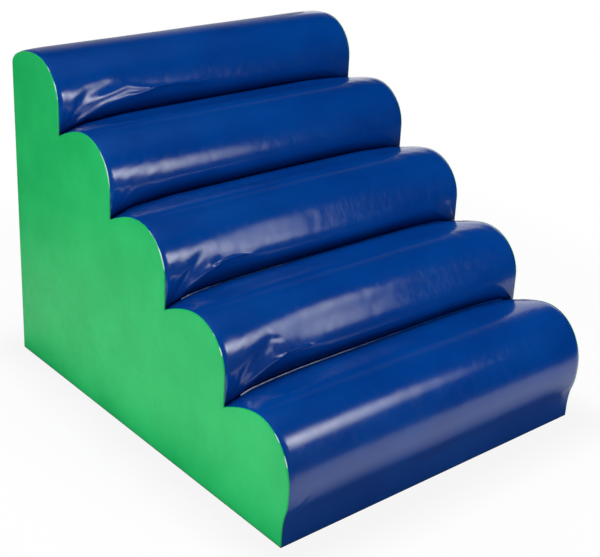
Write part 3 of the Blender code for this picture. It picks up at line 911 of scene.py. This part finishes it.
# Zip stitches
# Twin rows of blue polyester thread sew each back panel to its tape. A stitch is a short plump length that
# dips into the cloth at both ends.
thread, tree, shader, coordinates = start_material("sewing_thread", (0.010, 0.030, 0.150), 0.55)
twist = stretched(tree, coordinates, (900, 900, 2500), 2)
vary(tree, shader, "Base Color", twist, (0.006, 0.022, 0.110), (0.020, 0.050, 0.210))
stitch_length = 3.3 * mm
stitch_radius = 0.35 * mm
stitch_belly = 0.34
stitch_end = 8 * mm
stitch_wander = 0.15 * mm
stitch_sink = 0.15 * mm
lower_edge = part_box("back_panel_lower")[1][2]
upper_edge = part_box("back_panel_upper")[0][2]
row_heights = [lower_edge - row for row in stitch_rows] + [upper_edge + row for row in stitch_rows]
stitch_count = int(2 * (half_width - stitch_end) / stitch_spacing)
points, faces = [], []
for number, row_z in enumerate(row_heights):
    for stitch in range(stitch_count):
        middle = (stitch - (stitch_count - 1) / 2) * stitch_spacing
        wander = stitch_wander * noise.noise(Vector((middle / 0.01, number * 4.1, 0)))
        first = len(points)
        lie = back_y + hem_rise - stitch_sink
        points.append((middle - stitch_length / 2, lie - stitch_radius, row_z + wander))
        for share in (-stitch_belly, stitch_belly):
            for turn in range(round_sides):
                angle = turn * math.tau / round_sides
                out, up = stitch_radius * math.sin(angle), stitch_radius * math.cos(angle)
                points.append((middle + share * stitch_length, lie + out, row_z + wander + up))
        points.append((middle + stitch_length / 2, lie - stitch_radius, row_z + wander))
        last = len(points) - 1
        for turn in range(round_sides):
            a, b = first + 1 + turn, first + 1 + (turn + 1) % round_sides
            c, d = b + round_sides, a + round_sides
            faces += [(first, b, a), (a, b, c, d), (d, c, last)]
stitches = add_mesh("zip_stitches", points, faces, thread)
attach(stitches, "climber")

# Zip end patches
# A small patch of the blue cloth closes the slot at each end of the zip. It is sewn over the tapes' ends and
# dips a little along the slot.
patch_overlap = 4 * mm
patch_stand = 1.3 * mm
patch_dip = 0.5 * mm
patch_dip_half = 7 * mm
patch_lie = 0.15 * mm
zip_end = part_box("zip_tape_lower")[1][0]
for name, side in (("zip_end_patch_left", -1), ("zip_end_patch_right", 1)):
    xs = side * np.linspace(zip_end - 2 * mm, half_width - 0.4 * mm, 24)
    zs = np.linspace(lower_edge - patch_overlap, upper_edge + patch_overlap, 15)
    grid = np.array([[(x, back_y + patch_stand, z) for z in zs] for x in xs])
    if side > 0:
        grid = grid[::-1]
    middle = np.abs(grid[:, :, 2] - (lower_edge + upper_edge) / 2)
    grid[:, :, 1] -= patch_dip * np.clip(1 - middle / patch_dip_half, 0, 1) ** 0.7
    grid[:, :, 1] += patch_lie * smooth_noise(grid, 0.02, 70 + side)
    patch = add_sheet(name, grid, cover_thickness, blue_vinyl)
    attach(patch, "climber")

# Zip teeth, stops, slider and pull
# The teeth and the stops are moulded onto the tapes in dark plastic. The slider and its pull are cast in a
# dull grey metal and run along the teeth. All keep their CAD shapes, with softened edges.
zip_plastic, tree, shader, coordinates = start_material("zip_plastic", (0.010, 0.014, 0.040), 0.4)
wear = stretched(tree, coordinates, (200, 200, 200), 3)
vary(tree, shader, "Roughness", wear, 0.32, 0.5)
vary(tree, shader, "Base Color", wear, (0.008, 0.012, 0.034), (0.015, 0.020, 0.052))
slider_metal, tree, shader, coordinates = start_material("slider_metal", (0.30, 0.30, 0.31), 0.35)
shader.inputs["Metallic"].default_value = 1.0
wear = stretched(tree, coordinates, (400, 400, 400), 3)
vary(tree, shader, "Roughness", wear, 0.22, 0.45)
vary(tree, shader, "Base Color", wear, (0.26, 0.26, 0.27), (0.34, 0.34, 0.35))
bump(tree, shader, wear, 0.05 * mm)
for nodes, material, rounding in (
    (("zip_teeth_upper", "zip_teeth_lower"), zip_plastic, 0.25 * mm),
    (("zip_stop_upper", "zip_stop_lower", "zip_stop_end"), zip_plastic, 0.4 * mm),
    (("zip_slider", "zip_pull"), slider_metal, 0.3 * mm),
):
    for node in nodes:
        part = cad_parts[node]
        part.data.materials.clear()
        part.data.materials.append(material)
        soften_edges(part, rounding, 30)

# Floor
# A sheet of white paper lies under the climber. Its colour is painted darker close to the climber, a painted
# shadow where less light reaches, and painted dark again further out. The camera sees it as plain white with
# a faint shadow, and the vinyl mirrors only the strip of it near the climber.
floor_paper, tree, shader, coordinates = start_material("floor_paper", (0.80, 0.80, 0.80), 0.8)
floor_half = 6.0
floor_drop = 0.2 * mm
shade_start, shade_reach = 0.05, 0.17
lit_reach, lit_end = 0.45, 0.95
mirrored_floor = 0.43
footprint = (half_width, -first_front_y)


def math_node(tree, operation, *values):
    made = add_node(tree, "ShaderNodeMath")
    made.operation = operation
    for socket, value in zip(made.inputs, values):
        if isinstance(value, (int, float)):
            socket.default_value = value
        else:
            tree.links.new(value, socket)
    return made.outputs[0]


def mix_into(tree, output, share, shader, other):
    """Send a shader, and a share of the other one, to the output."""
    mix = add_node(tree, "ShaderNodeMixShader")
    for source, socket in zip((share, shader.outputs[0], other.outputs[0]), mix.inputs):
        tree.links.new(source, socket)
    tree.links.new(mix.outputs[0], tree.nodes[output].inputs["Surface"])


def mirror_rays(tree, seen, strength):
    """The strength for rays off a glossy or clear surface, and 0 for all others."""
    sent_on = math_node(tree, "MAXIMUM", seen.outputs["Is Glossy Ray"], seen.outputs["Is Transmission Ray"])
    return math_node(tree, "MULTIPLY", sent_on, strength)


split = add_node(tree, "ShaderNodeSeparateXYZ")
tree.links.new(coordinates, split.inputs[0])
outside = []
for axis, half in zip("XY", footprint):
    size = math_node(tree, "ABSOLUTE", split.outputs[axis])
    beyond = math_node(tree, "MAXIMUM", math_node(tree, "SUBTRACT", size, half), 0.0)
    outside.append(math_node(tree, "POWER", beyond, 2.0))
away = math_node(tree, "SQRT", math_node(tree, "ADD", *outside))
blotches = stretched(tree, coordinates, (1.5, 1.5, 1.5), 2)
away = math_node(tree, "ADD", away, math_node(tree, "MULTIPLY", blotches, 0.05))
# painted shadow: the paper's colour is darker near the climber, and painted dark again far from it
near = ramp(tree, away, shade_start, shade_reach, 0.0, 1.0)
far = ramp(tree, away, lit_reach, lit_end, 1.0, 0.0)
lit_strip = math_node(tree, "MULTIPLY", near, far)
vary(tree, shader, "Base Color", lit_strip, (0.07, 0.07, 0.07), (0.85, 0.85, 0.85), 0.0, 1.0)
paper_light = add_node(tree, "ShaderNodeEmission")
paper_light.inputs["Color"].default_value = (1, 1, 1, 1)
paper_light.inputs["Strength"].default_value = 1.0
seen = add_node(tree, "ShaderNodeLightPath")
share = math_node(tree, "MULTIPLY", seen.outputs["Is Camera Ray"], ramp(tree, away, 0.0, 1.2, 0.90, 1.0))
mirrored = mirror_rays(tree, seen, math_node(tree, "MULTIPLY", lit_strip, mirrored_floor))
share = math_node(tree, "MAXIMUM", share, mirrored)
mix_into(tree, "Material Output", share, shader, paper_light)
corners = [(x * floor_half, y * floor_half, 0) for x, y in ((-1, -1), (1, -1), (1, 1), (-1, 1))]
floor = add_mesh("studio_floor", corners, [(0, 1, 2, 3)], floor_paper)
floor.location = (0, 0, -floor_drop)

# Room
# The studio is plain white to the camera. The vinyl mirrors a dim backdrop low down behind the climber, and
# only a little of the room's light reaches the climber.
mirrored_backdrop = 0.42
room_light = 0.05
world = bpy.data.worlds.new("studio")
bpy.context.scene.world = world
world.use_nodes = True
world.cycles.sampling_method = "NONE"
tree = world.node_tree
background = tree.nodes["Background"]
background.inputs["Color"].default_value = (1, 1, 1, 1)
room = add_node(tree, "ShaderNodeBackground")
room.inputs["Color"].default_value = (1, 1, 1, 1)
seen = add_node(tree, "ShaderNodeLightPath")
direction = add_node(tree, "ShaderNodeTexCoord")
split = add_node(tree, "ShaderNodeSeparateXYZ")
tree.links.new(direction.outputs["Generated"], split.inputs[0])
low_down = ramp(tree, split.outputs["Z"], 0.0, 0.60, 1.0, 0.0)
behind = ramp(tree, split.outputs["Y"], 0.0, 0.5, 0.0, 1.0)
to_the_right = ramp(tree, split.outputs["X"], -0.3, 0.7, 0.45, 1.1)
backdrop = math_node(tree, "MULTIPLY", math_node(tree, "MULTIPLY", low_down, behind), to_the_right)
strength = mirror_rays(tree, seen, math_node(tree, "MULTIPLY", backdrop, mirrored_backdrop))
dim = math_node(tree, "MULTIPLY", seen.outputs["Is Diffuse Ray"], room_light)
tree.links.new(math_node(tree, "ADD", strength, dim), room.inputs["Strength"])
mix_into(tree, "World Output", seen.outputs["Is Camera Ray"], room, background)

# Lamps
# A softbox at the front right, which fades towards its edges, draws the highlights on the steps. The others
# light the sides, the fronts and the back, and the vinyl mirrors only the pale card on the right.


def add_lamp(name, place, target, size, radiance, in_gloss=True, fading=False):
    """A rectangular lamp as bright as radiance times white, which may fade at its edges."""
    data = bpy.data.lights.new(name, "AREA")
    data.shape = "RECTANGLE"
    data.size, data.size_y = size
    data.energy = math.pi * size[0] * size[1] * radiance
    lamp = bpy.data.objects.new(name, data)
    lamp.location = place
    lamp.rotation_euler = (Vector(target) - Vector(place)).to_track_quat("-Z", "Y").to_euler()
    lamp.visible_glossy = in_gloss
    bpy.context.collection.objects.link(lamp)
    if fading:
        data.use_nodes = True
        tree = data.node_tree
        surface = add_node(tree, "ShaderNodeNewGeometry")
        split = add_node(tree, "ShaderNodeSeparateXYZ")
        tree.links.new(surface.outputs["Parametric"], split.inputs[0])
        sideways = ramp(tree, split.outputs["X"], 0.35, 1.0, 1.0, 0.12)
        below = ramp(tree, split.outputs["Y"], 0.0, 0.4, 0.1, 1.0)
        above = ramp(tree, split.outputs["Y"], 0.6, 1.0, 1.0, 0.1)
        share = math_node(tree, "MULTIPLY", sideways, math_node(tree, "MINIMUM", below, above))
        tree.links.new(share, tree.nodes["Emission"].inputs["Strength"])


add_lamp("softbox_front_right", (0.55, -1.44, 1.15), (0.04, 0.16, 1.0), (1.0, 0.74), 7.2, fading=True)
add_lamp("softbox_left", (-2.6, -0.35, 0.95), (-0.5, -0.1, 0.4), (2.0, 1.8), 5.0, in_gloss=False)
add_lamp("ceiling", (0.0, 0.3, 3.2), (0.0, 0.2, 0.8), (3.0, 3.0), 2.0, in_gloss=False)
add_lamp("fill_front", (0.7, -3.2, 1.0), (0.0, -0.2, 0.45), (2.0, 1.6), 2.2, in_gloss=False)
add_lamp("card_right", (2.3, 1.2, 0.9), (0.0, 0.2, 0.8), (2.2, 1.2), 0.8)
add_lamp("fill_back", (0.6, 3.4, 1.3), (0.0, 0.3, 0.4), (3.0, 2.0), 1.6, in_gloss=False)
add_lamp("fill_right", (3.3, -0.2, 1.2), (0.3, 0.0, 0.4), (2.0, 2.0), 1.3, in_gloss=False)

# Camera
# It looks down on the climber from the front left. Its place, its turn and its lens were fitted to the seams
# and corners in the photograph, in pixels of a picture of 600 by 557.
camera_place = (-2.0033, -2.3199, 1.7026)
yaw, pitch, roll = math.radians(49.917), math.radians(22.156), math.radians(2.434)
focal_pixels = 1242.7
image_width, image_height = 600, 557
centre_px = (280, 230)
forward = Vector((math.cos(yaw) * math.cos(pitch), math.sin(yaw) * math.cos(pitch), -math.sin(pitch)))
level = Vector((math.sin(yaw), -math.cos(yaw), 0))
upright = level.cross(forward)
right = level * math.cos(roll) + upright * math.sin(roll)
up = upright * math.cos(roll) - level * math.sin(roll)
data = bpy.data.cameras.new("camera")
data.sensor_width = 36
data.lens = focal_pixels * data.sensor_width / image_width
data.shift_x = (image_width / 2 - centre_px[0]) / image_width
data.shift_y = (centre_px[1] - image_height / 2) / image_width
camera = bpy.data.objects.new("camera", data)
turn = Matrix((right, up, -forward)).transposed()
camera.matrix_world = Matrix.Translation(camera_place) @ turn.to_4x4()
bpy.context.collection.objects.link(camera)
bpy.context.scene.camera = camera
bpy.context.scene.view_settings.view_transform = "Standard"
